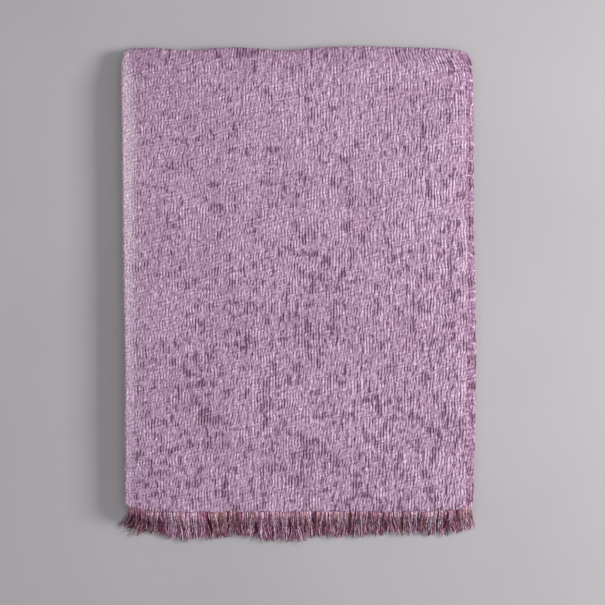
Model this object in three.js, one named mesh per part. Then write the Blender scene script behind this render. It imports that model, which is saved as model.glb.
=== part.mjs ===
// A woven sofa throw with a fringe at both ends, folded in thirds across and then in thirds along.
// It lies flat on a surface. Sizes are in millimetres and +Z is up. +X runs across the folded
// throw, and the fringe that shows points to -Y. The origin is the middle of the footprint.

import * as THREE from 'three';

// The cloth and the way its layers stack
const clothThickness = 2.4;
const layerGap = 0.6;
const packGap = 0.8;
const layersInPack = 3;

// The folded throw, seen from above
const foldedWidth = 433;
const foldedLength = 571;
const freeEdgeInset = 12;
const lowFoldInset = 3;
const hiddenEndInset = 45;

// How the stack settles. The waves are long and soft: each has its share of the height, its
// span across and along, and where it starts in its turn.
const restingWaves = [
  { share: 0.021, spanAcross: 310, spanAlong: 520, start: 0.7 },
  { share: 0.014, spanAcross: -450, spanAlong: 290, start: 2.1 },
];
const sagDepth = 6;
const sagLength = 38;
const sagFreeHeight = 3;
const rightEdgeDroop = 0.1;
const leftEdgeDroop = 0.03;
const edgeDroopWidth = 24;
const lowerLayersInset = 0.008;
const cornerNarrowing = 0.011;
const cornerLength = 20;
const rootCurveLength = 90;

// The fringe
const stripGap = 0.3;
const stripDepth = 3;
const shownStrandWidth = 3.4;
const hiddenStrandWidth = 4;
const strandTipShare = 0.7;
const strandTipHeight = 1.8;
const strandEndMargin = 2;
const columnMargin = 0.4;
const shownStrandsInLayer = 29;
const hiddenStrandsInLayer = 12;
const shownLandingShare = 0.72;
const shownLayerStep = 3;
const hiddenReach = 36;
const hiddenLanding = 12;

// Steps of the faceted shape
const tightFoldSteps = 4;
const fullFoldSteps = 5;
const packFoldSteps = 6;
const shownStrandSteps = 4;
const hiddenStrandSteps = 2;
const stationsAlong = [-255, -190, -110, -30, 50, 130, 195, 240, 258];
const stationClearance = 5;

// The colours of the weave and of the fringe's yarn
const clothColour = 0xaa8aa3;
const yarnColour = 0x795a6a;

// How the folded throw strays from a plain block, at each column of the cloth. Across is measured
// from its middle. The columns give how far the top fold stands out, how far the fringe's root
// line is drawn in, how far the fringe reaches and how far its tips lean to the right.
const columnsAcross = [
  { across: -216.5, topOut: -6.5, rootIn: 8.6, reach: 29, lean: -16 },
  { across: -210.5, topOut: -2.4, rootIn: 5.8, reach: 30, lean: -14.5 },
  { across: -204.5, topOut: -0.6, rootIn: 3.8, reach: 31, lean: -12.5 },
  { across: -194, topOut: 0.4, rootIn: 1.9, reach: 32, lean: -8 },
  { across: -178, topOut: 0.9, rootIn: 0.8, reach: 33, lean: -3.5 },
  { across: -148, topOut: -1.8, rootIn: 0, reach: 37, lean: 0 },
  { across: -80, topOut: 1.3, rootIn: 0, reach: 33, lean: -1 },
  { across: -10, topOut: -1.8, rootIn: 0, reach: 38, lean: 0 },
  { across: 38, topOut: 1.6, rootIn: 0, reach: 33, lean: 1.2 },
  { across: 78, topOut: 2.8, rootIn: 0, reach: 32, lean: -0.8 },
  { across: 122, topOut: 1.7, rootIn: 0, reach: 29, lean: 0.8 },
  { across: 168, topOut: 0.6, rootIn: 0.8, reach: 32, lean: 0.3 },
  { across: 190, topOut: -0.7, rootIn: 2.6, reach: 33, lean: 2.5 },
  { across: 204.5, topOut: -2.6, rootIn: 5.4, reach: 34, lean: 6 },
  { across: 210, topOut: -4.4, rootIn: 7, reach: 33, lean: 7.5 },
  { across: 216.5, topOut: -8, rootIn: 9.6, reach: 31, lean: 9 },
];

// How far the left and right sides drift to the right, from the fringe to the top fold
const rowsAlong = [
  { along: -286, left: 3.6, right: 0.2 },
  { along: -210, left: 3.6, right: 1.8 },
  { along: -99, left: 3.6, right: 3.8 },
  { along: -26, left: 2.3, right: 3.2 },
  { along: 60, left: 1.1, right: 1 },
  { along: 183, left: -0.1, right: 0.7 },
  { along: 286, left: -1.4, right: -0.5 },
];

// Sizes that follow from those above
const layerPitch = clothThickness + layerGap;
const packHeight = layersInPack * clothThickness + (layersInPack - 1) * layerGap;
const packPitch = packHeight + packGap;
const stackHeight = 2 * packPitch + packHeight;
const halfWidth = foldedWidth / 2;
const halfLength = foldedLength / 2;
const foldReach = packHeight + packGap / 2;
const topFoldCentre = halfLength - foldReach;
const lowFoldCentre = -halfLength + lowFoldInset + foldReach;
const hiddenEnd = topFoldCentre - hiddenEndInset;
const freeEdge = halfWidth - freeEdgeInset;
const tightFoldRadius = layerPitch / 2;
const fullFoldRadius = layerPitch;
const tightFoldCentre = -halfWidth + tightFoldRadius + clothThickness / 2;
const fullFoldCentre = halfWidth - fullFoldRadius - clothThickness / 2;

// The value in a table's named column, in even steps from row to row
function readTable(rows, keyColumn, key, valueColumn) {
  const next = Math.max(1, rows.findIndex((row) => row[keyColumn] >= key));
  const upper = key > rows[rows.length - 1][keyColumn] ? rows.length - 1 : next;
  const before = rows[upper - 1];
  const after = rows[upper];
  const share = (key - before[keyColumn]) / (after[keyColumn] - before[keyColumn]);
  const clamped = THREE.MathUtils.clamp(share, 0, 1);
  return THREE.MathUtils.lerp(before[valueColumn], after[valueColumn], clamped);
}

const acrossValue = (across, valueColumn) =>
  readTable(columnsAcross, 'across', across, valueColumn);
const alongValue = (along, valueColumn) => readTable(rowsAlong, 'along', along, valueColumn);

// How much higher than even the stack stands at a place, as a share of its height
function waveShare(across, along) {
  const sizes = restingWaves.map(({ share, spanAcross, spanAlong, start }) => {
    const turns = across / spanAcross + along / spanAlong;
    return share * Math.sin(2 * Math.PI * turns + start);
  });
  return sizes.reduce((sum, size) => sum + size, 0);
}

// Moves a point of the evenly folded throw to where the real one lies
function settle(point) {
  const { smoothstep } = THREE.MathUtils;
  const droop =
    rightEdgeDroop * smoothstep(point.x, halfWidth - edgeDroopWidth, halfWidth) +
    leftEdgeDroop * smoothstep(-point.x, halfWidth - edgeDroopWidth, halfWidth);
  const settled = point.z * (1 + waveShare(point.x, point.y)) * (1 - droop);
  const overhang = smoothstep(point.y, topFoldCentre - sagLength, topFoldCentre);
  const unheld = smoothstep(settled, sagFreeHeight, packPitch);
  const height = settled - sagDepth * overhang * unheld;

  const nearTop = smoothstep(point.y, 0, halfLength);
  const nearFringe = smoothstep(-point.y, halfLength - rootCurveLength, halfLength);
  const along =
    point.y +
    nearTop * acrossValue(point.x, 'topOut') +
    nearFringe * acrossValue(point.x, 'rootIn');

  const rightShare = (1 + point.x / halfWidth) / 2;
  const drift =
    (1 - rightShare) * alongValue(point.y, 'left') +
    rightShare * alongValue(point.y, 'right');
  const nearCorner = smoothstep(point.y, halfLength - cornerLength, halfLength);
  const narrowing = cornerNarrowing * nearCorner + lowerLayersInset * (1 - point.z / stackHeight);
  return new THREE.Vector3(point.x * (1 - narrowing) + drift, along, height);
}

// The flat stretch of each of a pack's layers, from the flap below (0) to the layer on top (2)
function stretchOf(layer) {
  const left = layer === 0 ? -freeEdge : tightFoldCentre;
  const right = layer === 1 ? freeEdge : fullFoldCentre;
  return { left, right };
}

// The middle of the sheet in one cross-section of a pack, with the direction of its outer face.
// It runs from the free edge of the inner flap round the tight left fold, along the layer on
// top and round the full right fold to the free edge of the flap below. A column that belongs
// to a strand of fringe carries that strand's place.
function packCentreLine(columnsOf) {
  const line = [];
  const layerHeight = (layer) => clothThickness / 2 + layer * layerPitch;
  const addStretch = (layer, direction) => {
    const { left, right } = stretchOf(layer);
    const columns = [{ across: left }, ...columnsOf(layer), { across: right }];
    for (const column of direction > 0 ? columns : columns.reverse()) {
      const { across, strand } = column;
      const height = layerHeight(layer);
      line.push({ across, strand, layer, height, outAcross: 0, outHeight: direction });
    }
  };
  const addFold = (centreAcross, centreHeight, radius, startAngle, steps) => {
    for (let step = 1; step < steps; step += 1) {
      const angle = startAngle - (Math.PI * step) / steps;
      const outAcross = Math.cos(angle);
      const outHeight = Math.sin(angle);
      const across = centreAcross + radius * outAcross;
      const height = centreHeight + radius * outHeight;
      line.push({ across, height, outAcross, outHeight });
    }
  };
  addStretch(1, -1);
  addFold(tightFoldCentre, layerHeight(1.5), tightFoldRadius, -Math.PI / 2, tightFoldSteps);
  addStretch(2, 1);
  addFold(fullFoldCentre, layerHeight(1), fullFoldRadius, Math.PI / 2, fullFoldSteps);
  addStretch(0, -1);
  return line;
}

// One ring of points round the cross-section: the outer face in order, then the inner face back
function ringOf(line) {
  const half = clothThickness / 2;
  const face = (sample, side) => ({
    across: sample.across + side * half * sample.outAcross,
    height: sample.height + side * half * sample.outHeight,
  });
  const outer = line.map((sample) => face(sample, 1));
  const inner = line.map((sample) => face(sample, -1));
  return [...outer, ...inner.reverse()];
}

// The lie of a pack: straight stretches and the half turns between them
function straightStations(from, to, level, facing) {
  const low = Math.min(from, to) + stationClearance;
  const high = Math.max(from, to) - stationClearance;
  const between = stationsAlong.filter((y) => y > low && y < high);
  const inOrder = from < to ? between : between.reverse();
  return [from, ...inOrder, to].map((y) => ({ y, z: level, upY: 0, upZ: facing }));
}

function foldStations(centreY, centreZ, baseRadius, direction, upSign) {
  const stations = [];
  for (let step = 1; step < packFoldSteps; step += 1) {
    const angle = Math.PI / 2 - (direction * Math.PI * step) / packFoldSteps;
    const outY = Math.cos(angle);
    const outZ = Math.sin(angle);
    const y = centreY + baseRadius * outY;
    const z = centreZ + baseRadius * outZ;
    stations.push({ y, z, upY: upSign * outY, upZ: upSign * outZ });
  }
  return stations;
}

function throwStations() {
  const innerRadius = packGap / 2;
  const middleTop = packPitch + packHeight;
  return [
    ...straightStations(-halfLength, topFoldCentre, 2 * packPitch, 1),
    ...foldStations(topFoldCentre, middleTop + innerRadius, innerRadius, 1, 1),
    ...straightStations(topFoldCentre, lowFoldCentre, middleTop, -1),
    ...foldStations(lowFoldCentre, packHeight + innerRadius, foldReach, -1, -1),
    ...straightStations(lowFoldCentre, hiddenEnd, 0, 1),
  ];
}

// A closed mesh in the making: settled points and the faces between rings of them
class Shell {
  constructor() {
    this.points = [];
    this.triangles = [];
  }

  addPoint(x, y, z) {
    this.points.push(settle(new THREE.Vector3(x, y, z)));
    return this.points.length - 1;
  }

  addRing(ring, station) {
    return ring.map(({ across, height }) => {
      const y = station.y + station.upY * height;
      const z = station.z + station.upZ * height;
      return this.addPoint(across, y, z);
    });
  }

  // The wall between two rings, where the second lies further along
  joinRings(first, second) {
    for (let corner = 0; corner < first.length; corner += 1) {
      const next = (corner + 1) % first.length;
      this.triangles.push(first[corner], first[next], second[next]);
      this.triangles.push(first[corner], second[next], second[corner]);
    }
  }

  // A flat piece between four corners, facing back along the cloth or on along it
  addQuad(corners, facing) {
    const [a, b, c, d] = facing > 0 ? corners : [...corners].reverse();
    this.triangles.push(a, b, c, a, c, d);
  }

  geometry() {
    const geometry = new THREE.BufferGeometry().setFromPoints(this.points);
    geometry.setIndex(this.triangles);
    geometry.computeVertexNormals();
    return geometry;
  }
}

// The four corners of the sheet between two neighbouring samples of a ring
function rungCorners(ring, rung) {
  const size = ring.length;
  return [ring[rung], ring[rung + 1], ring[size - 2 - rung], ring[size - 1 - rung]];
}

// The cloth's own columns in a layer, between the ends of its stretch
function clothColumns(layer) {
  const { left, right } = stretchOf(layer);
  return columnsAcross.filter(({ across }) => across > left && across < right);
}

function foldedCloth() {
  const line = packCentreLine(clothColumns);
  const ring = ringOf(line);
  const shell = new Shell();
  const rings = throwStations().map((station) => shell.addRing(ring, station));
  for (let station = 0; station + 1 < rings.length; station += 1) {
    shell.joinRings(rings[station], rings[station + 1]);
  }
  for (let rung = 0; rung + 1 < line.length; rung += 1) {
    shell.addQuad(rungCorners(rings[0], rung), -1);
    shell.addQuad(rungCorners(rings[rings.length - 1], rung), 1);
  }
  return shell.geometry();
}

// The centres of the strands in a layer. Each layer's strands stand between those of the others.
function strandCentres(layer, strandsInLayer, strandWidth) {
  const spacing = (2 * freeEdge) / strandsInLayer;
  const { left, right } = stretchOf(layer);
  const margin = strandWidth / 2 + strandEndMargin;
  const centres = [];
  for (let place = -1; place <= strandsInLayer; place += 1) {
    const across = -freeEdge + (place + (layer + 0.5) / layersInPack) * spacing;
    if (across - margin > left && across + margin < right) {
      centres.push(across);
    }
  }
  return centres;
}

// One strand: it grows out of the strip, falls to the surface and lies level on it
function addStrand(shell, rootCorners, { across, layerBase, facing, root, outward, width, lie }) {
  const corners = facing > 0
    ? [[-1, 1], [1, 1], [1, 0], [-1, 0]]
    : [[1, 0], [-1, 0], [-1, 1], [1, 1]];
  const fallAt = (share) => {
    const run = share * lie.reach;
    const fallen = THREE.MathUtils.smootherstep(run, 0, lie.landing);
    return new THREE.Vector2(run, layerBase * (1 - fallen));
  };
  const nearby = 0.01;
  let ring = rootCorners;
  for (let step = 1; step <= lie.steps; step += 1) {
    const share = step / lie.steps;
    const place = fallAt(share);
    const heading = fallAt(share + nearby).sub(fallAt(share - nearby)).normalize();
    const halfSpan = (width / 2) * THREE.MathUtils.lerp(1, strandTipShare, share);
    const height = THREE.MathUtils.lerp(clothThickness, strandTipHeight, share);
    const middle = across + lie.lean * share * share;
    const nextRing = corners.map(([side, up]) => {
      const y = root + outward * (place.x - up * height * heading.y);
      const z = place.y + up * height * heading.x;
      return shell.addPoint(middle + side * halfSpan, y, z);
    });
    if (outward > 0) {
      shell.joinRings(ring, nextRing);
    } else {
      shell.joinRings(nextRing, ring);
    }
    ring = nextRing;
  }
  shell.addQuad(ring, outward);
}

// A fringe: a narrow strip along the cut end of the three layers, with strands out of each layer
function fringe({ edge, level, outward, strandsInLayer, strandWidth, lieOf }) {
  const line = packCentreLine((layer) => {
    const strands = strandCentres(layer, strandsInLayer, strandWidth);
    const sides = strands.flatMap((strand) => [
      { across: strand - strandWidth / 2, strand },
      { across: strand + strandWidth / 2, strand },
    ]);
    const reach = strandWidth / 2 + columnMargin;
    const between = clothColumns(layer).filter(({ across }) =>
      strands.every((strand) => Math.abs(across - strand) > reach),
    );
    return [...sides, ...between].sort((a, b) => a.across - b.across);
  });
  const ring = ringOf(line);
  const shell = new Shell();
  const near = edge + outward * stripGap;
  const root = near + outward * stripDepth;
  const station = (y) => ({ y, z: level, upY: 0, upZ: 1 });
  const nearRing = shell.addRing(ring, station(near));
  const rootRing = shell.addRing(ring, station(root));
  if (outward > 0) {
    shell.joinRings(nearRing, rootRing);
  } else {
    shell.joinRings(rootRing, nearRing);
  }
  for (let rung = 0; rung + 1 < line.length; rung += 1) {
    shell.addQuad(rungCorners(nearRing, rung), -outward);
    const rootCorners = rungCorners(rootRing, rung);
    const { strand: across, layer, outHeight: facing } = line[rung];
    if (across === undefined || across !== line[rung + 1].strand) {
      shell.addQuad(rootCorners, outward);
    } else {
      const layerBase = level + layer * layerPitch;
      const lie = lieOf(across, layer);
      const size = { across, layerBase, facing, root, outward, width: strandWidth, lie };
      addStrand(shell, rootCorners, size);
    }
  }
  return shell.geometry();
}

function shownLie(across, layer) {
  const reach = acrossValue(across, 'reach') - (layersInPack - 1 - layer) * shownLayerStep;
  const lean = acrossValue(across, 'lean');
  return { reach, landing: shownLandingShare * reach, lean, steps: shownStrandSteps };
}

function hiddenLie() {
  return { reach: hiddenReach, landing: hiddenLanding, lean: 0, steps: hiddenStrandSteps };
}

function piece(name, geometry, color) {
  const material = new THREE.MeshStandardMaterial({ color, roughness: 0.9, metalness: 0 });
  const mesh = new THREE.Mesh(geometry, material);
  mesh.name = name;
  return mesh;
}

const shownFringeShape = fringe({
  edge: -halfLength,
  level: 2 * packPitch,
  outward: -1,
  strandsInLayer: shownStrandsInLayer,
  strandWidth: shownStrandWidth,
  lieOf: shownLie,
});
const hiddenFringeShape = fringe({
  edge: hiddenEnd,
  level: 0,
  outward: 1,
  strandsInLayer: hiddenStrandsInLayer,
  strandWidth: hiddenStrandWidth,
  lieOf: hiddenLie,
});

const sofaThrow = new THREE.Group();
sofaThrow.add(piece('throw_cloth', foldedCloth(), clothColour));
sofaThrow.add(piece('front_fringe', shownFringeShape, yarnColour));
sofaThrow.add(piece('hidden_fringe', hiddenFringeShape, yarnColour));

const footprint = new THREE.Box3().setFromObject(sofaThrow);
const middle = footprint.getCenter(new THREE.Vector3());
sofaThrow.position.set(-middle.x, -middle.y, -footprint.min.z);

export default sofaThrow;
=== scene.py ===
"""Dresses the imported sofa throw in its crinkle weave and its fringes, and lights it on a pale floor.

Lengths in the classes are in millimetres and colours are sRGB bytes. On the folded throw x runs
across, y runs along with the fringe that shows at its low end, and z is the height over the floor.
On the cloth itself a place is given by how far it lies across and along, from the corner of its
inner flap at the shown fringe.
"""

import logging
import math
from dataclasses import dataclass
from enum import Enum
from typing import NamedTuple, Sequence

import bpy
import bmesh
import numpy as np
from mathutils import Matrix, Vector

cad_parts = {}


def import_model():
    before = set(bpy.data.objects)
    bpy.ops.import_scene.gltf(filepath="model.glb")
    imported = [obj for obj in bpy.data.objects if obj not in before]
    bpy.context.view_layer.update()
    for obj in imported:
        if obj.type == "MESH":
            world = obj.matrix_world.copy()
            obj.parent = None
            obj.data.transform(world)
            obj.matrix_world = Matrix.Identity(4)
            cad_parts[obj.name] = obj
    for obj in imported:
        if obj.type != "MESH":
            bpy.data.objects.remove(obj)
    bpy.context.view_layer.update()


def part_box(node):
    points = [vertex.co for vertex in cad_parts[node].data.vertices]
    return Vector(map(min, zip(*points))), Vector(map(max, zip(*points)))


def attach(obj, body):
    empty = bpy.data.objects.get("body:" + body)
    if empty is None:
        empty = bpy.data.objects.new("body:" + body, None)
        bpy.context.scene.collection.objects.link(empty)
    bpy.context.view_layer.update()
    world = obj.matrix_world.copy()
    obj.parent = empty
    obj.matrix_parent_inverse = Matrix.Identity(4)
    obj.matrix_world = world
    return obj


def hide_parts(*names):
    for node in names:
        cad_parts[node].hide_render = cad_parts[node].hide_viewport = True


LOG = logging.getLogger("throw")
METRES = 0.001
ROOT_BODY = "root"

Array = np.ndarray
Colour = tuple[float, float, float]
Span = tuple[float, float]


class Node(str, Enum):
    """The solids of the frame that the dressed pieces stand for."""

    CLOTH = "throw_cloth"
    FRONT_FRINGE = "front_fringe"
    HIDDEN_FRINGE = "hidden_fringe"


class Slot(str, Enum):
    """The record's material slots."""

    WEAVE = "crinkle_weave"
    YARN = "fringe_yarn"


class Layer(str, Enum):
    """The names of the values that the cloth and the yarns keep at each vertex."""

    RIB = "rib"
    FLECK = "fleck"
    # Where painted sheen lies along the left fold, taken from the pull of that fold
    PAINTED_SHEEN = "pull"
    # Where painted shade and pale weft lines lie along the right fold, taken from the pull of that fold
    SHADE_AND_WEFT = "weft"
    WORKED = "worked"
    FLAT = "flat_cloth"
    LOCK = "lock_tone"
    TONE = "yarn_tone"
    ALONG = "yarn_along"
    AROUND = "yarn_around"


# Curves and random fields


def smoothstep(low: float, high: float, at: Array) -> Array:
    """A soft step from 0 at low to 1 at high."""
    share = np.clip((at - low) / (high - low), 0, 1)
    return share * share * (3 - 2 * share)


def read_table(table: Sequence[tuple], name: str, at: Array) -> Array:
    """Reads a smooth curve that runs through one column of a table.

    Args:
        table: The rows, each with its place in the first column, rising.
        name: The column that holds the values.
        at: The places to read.

    Returns:
        The curve's value at each place.
    """
    keys = np.array([row[0] for row in table], float)
    values = np.array([getattr(row, name) for row in table], float)
    slopes = np.gradient(values, keys)
    at = np.clip(at, keys[0], keys[-1])
    row = np.clip(np.searchsorted(keys, at) - 1, 0, len(keys) - 2)
    step = keys[row + 1] - keys[row]
    share = (at - keys[row]) / step
    left = 1 - share
    return (
        (1 + 2 * share) * left**2 * values[row]
        + share * left**2 * step * slopes[row]
        + (3 - 2 * share) * share**2 * values[row + 1]
        - share**2 * left * step * slopes[row + 1]
    )


class Bumps(NamedTuple):
    """Soft random bumps: how strong they are, and how far each reaches in rows and in columns."""

    strength: float
    rows: float
    columns: float

    def over(self, rng: np.random.Generator, shape: tuple[int, int]) -> Array:
        """Draws the bumps over a grid.

        Args:
            rng: The seeded source.
            shape: The grid's rows and columns.

        Returns:
            An even field with mean 0, whose typical size is the strength.
        """
        rows = np.fft.fftfreq(shape[0])[:, None] * self.rows
        columns = np.fft.rfftfreq(shape[1])[None, :] * self.columns
        spectrum = np.fft.rfft2(rng.standard_normal(shape))
        spectrum *= np.exp(-2 * np.pi**2 * (rows**2 + columns**2))
        noise = np.fft.irfft2(spectrum, s=shape)
        return self.strength * ((noise - noise.mean()) / noise.std())


# How the throw is folded


@dataclass(frozen=True)
class Straight:
    """A straight stretch of a route, with its face up (1) or down (-1)."""

    start: float
    end: float
    height: float
    facing: float

    def length(self, measured_at: float) -> float:
        """The stretch's length, which is alike at any height."""
        return abs(self.end - self.start)

    def at(self, share: Array) -> tuple[Array, Array]:
        """The places and the facings at shares of the stretch, each with two columns."""
        place = np.stack([self.start + (self.end - self.start) * share, 0 * share + self.height], -1)
        return place, np.stack([0 * share, 0 * share + self.facing], -1)


@dataclass(frozen=True)
class HalfTurn:
    """A fold of a route. It starts over its centre, or under it, and turns one way (1) or the other."""

    across: float
    height: float
    radius: float
    start_angle: float
    turning: float
    facing: float

    def length(self, measured_at: float) -> float:
        """The turn's length at a height over the route."""
        return math.pi * (self.radius + self.facing * measured_at)

    def at(self, share: Array) -> tuple[Array, Array]:
        """Places and facings at shares of the turn.

        Args:
            share: How far round the turn, from 0 to 1.

        Returns:
            The places and the directions that the face looks in, each with two columns.
        """
        angle = math.radians(self.start_angle) + self.turning * math.pi * share
        outward = np.stack([np.cos(angle), np.sin(angle)], -1)
        return outward * self.radius + (self.across, self.height), outward * self.facing


@dataclass(frozen=True)
class Route:
    """Straight stretches and the folds between them, read by the distance along them."""

    parts: tuple[Straight | HalfTurn, ...]
    measured_at: float = 0.0

    @property
    def ends(self) -> Array:
        """The distance at which each part ends."""
        return np.cumsum([part.length(self.measured_at) for part in self.parts])

    @property
    def length(self) -> float:
        """The whole route's length."""
        return float(self.ends[-1])

    def at(self, distance: Array) -> tuple[Array, Array]:
        """Places and facings at distances along the route.

        Args:
            distance: How far along the route.

        Returns:
            The places and the directions that the face looks in, each with two columns.
        """
        ends = self.ends
        part_of = np.clip(np.searchsorted(ends, distance), 0, len(ends) - 1)
        place, facing = np.empty((*distance.shape, 2)), np.empty((*distance.shape, 2))
        for number, part in enumerate(self.parts):
            here = part_of == number
            size = part.length(self.measured_at)
            place[here], facing[here] = part.at((distance[here] - ends[number] + size) / size)
        return place, facing


@dataclass(frozen=True)
class FoldPlan:
    """Folds the cloth in thirds across, which makes a pack of three layers, and that in thirds along."""

    thickness: float = 2.4
    layer_gap: float = 0.6
    pack_gap: float = 0.8
    width: float = 433.0
    length: float = 571.0
    free_edge_inset: float = 12.0
    low_fold_inset: float = 3.0
    hidden_end_inset: float = 45.0

    @property
    def layer_pitch(self) -> float:
        """From one layer to the next."""
        return self.thickness + self.layer_gap

    @property
    def pack_height(self) -> float:
        """The height of three layers."""
        return 3 * self.thickness + 2 * self.layer_gap

    @property
    def pack_pitch(self) -> float:
        """From one pack to the next."""
        return self.pack_height + self.pack_gap

    @property
    def stack_height(self) -> float:
        """The height of the three packs."""
        return 2 * self.pack_pitch + self.pack_height

    @property
    def free_edge(self) -> float:
        """How far out the two woven edges lie."""
        return self.width / 2 - self.free_edge_inset

    @property
    def top_fold(self) -> float:
        """Where the top fold begins along the throw."""
        return self.length / 2 - self.pack_height - self.pack_gap / 2

    @property
    def low_fold(self) -> float:
        """Where the low fold begins along the throw."""
        return -self.top_fold + self.low_fold_inset

    @property
    def hidden_end(self) -> float:
        """Where the hidden end of the cloth lies."""
        return self.top_fold - self.hidden_end_inset

    def layer_height(self, layer: float) -> float:
        """The height of the middle of a layer in its pack."""
        return self.thickness / 2 + layer * self.layer_pitch

    @property
    def section(self) -> Route:
        """Folds the sheet across the throw.

        Returns:
            The sheet's middle, from the inner flap's woven edge to the lower flap's.
        """
        tight, full = self.layer_pitch / 2, self.layer_pitch
        left = tight + self.thickness / 2 - self.width / 2
        right = self.width / 2 - full - self.thickness / 2
        return Route(
            (
                Straight(self.free_edge, left, self.layer_height(1), -1),
                HalfTurn(left, self.layer_height(1.5), tight, -90, -1, 1),
                Straight(left, right, self.layer_height(2), 1),
                HalfTurn(right, self.layer_height(1), full, 90, -1, 1),
                Straight(right, -self.free_edge, self.layer_height(0), -1),
            )
        )

    @property
    def path(self) -> Route:
        """Folds the pack along the throw.

        Returns:
            The underside of the pack, from the shown end to the hidden one.
        """
        inner, outer = self.pack_gap / 2, self.pack_height + self.pack_gap / 2
        middle_top = self.pack_pitch + self.pack_height
        return Route(
            (
                Straight(-self.length / 2, self.top_fold, 2 * self.pack_pitch, 1),
                HalfTurn(self.top_fold, middle_top + inner, inner, 90, -1, 1),
                Straight(self.top_fold, self.low_fold, middle_top, -1),
                HalfTurn(self.low_fold, self.pack_height + inner, outer, 90, 1, -1),
                Straight(self.low_fold, self.hidden_end, 0, 1),
            ),
            measured_at=self.pack_height / 2,
        )


class Column(NamedTuple):
    """How the throw strays from a plain block at one place across it."""

    across: float
    top_out: float
    root_in: float
    reach: float
    lean: float


class Row(NamedTuple):
    """How far the two sides drift to the right at one place along the throw."""

    along: float
    left: float
    right: float


class Wave(NamedTuple):
    """A long, soft wave in the height of the stack."""

    share: float
    span_across: float
    span_along: float
    start: float


COLUMNS = (
    Column(across=-216.5, top_out=-3.6, root_in=8.6, reach=29, lean=-16),
    Column(across=-210.5, top_out=-0.9, root_in=5.8, reach=30, lean=-14.5),
    Column(across=-204.5, top_out=0.1, root_in=3.8, reach=31, lean=-12.5),
    Column(across=-194, top_out=0.4, root_in=1.9, reach=32, lean=-8),
    Column(across=-178, top_out=0.9, root_in=0.8, reach=33, lean=-3.5),
    Column(across=-148, top_out=-1.8, root_in=0, reach=37, lean=0),
    Column(across=-80, top_out=1.3, root_in=0, reach=33, lean=-1),
    Column(across=-10, top_out=-1.8, root_in=0, reach=38, lean=0),
    Column(across=38, top_out=1.6, root_in=0, reach=33, lean=1.2),
    Column(across=78, top_out=2.8, root_in=0, reach=32, lean=-0.8),
    Column(across=122, top_out=1.7, root_in=0, reach=29, lean=0.8),
    Column(across=168, top_out=0.6, root_in=0.8, reach=32, lean=0.3),
    Column(across=190, top_out=-0.7, root_in=2.6, reach=33, lean=2.5),
    Column(across=204.5, top_out=-2.6, root_in=5.4, reach=34, lean=6),
    Column(across=210, top_out=-4.4, root_in=7, reach=33, lean=7.5),
    Column(across=216.5, top_out=-8, root_in=9.6, reach=31, lean=9),
)
ROWS = (
    Row(along=-286, left=3.6, right=0.2),
    Row(along=-210, left=3.6, right=1.8),
    Row(along=-99, left=3.6, right=3.8),
    Row(along=-26, left=2.3, right=3.2),
    Row(along=60, left=1.1, right=1),
    Row(along=183, left=-0.1, right=0.7),
    Row(along=286, left=-1.4, right=-0.5),
)
WAVES = (
    Wave(share=0.021, span_across=310, span_along=520, start=0.7),
    Wave(share=0.014, span_across=-450, span_along=290, start=2.1),
)


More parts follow.
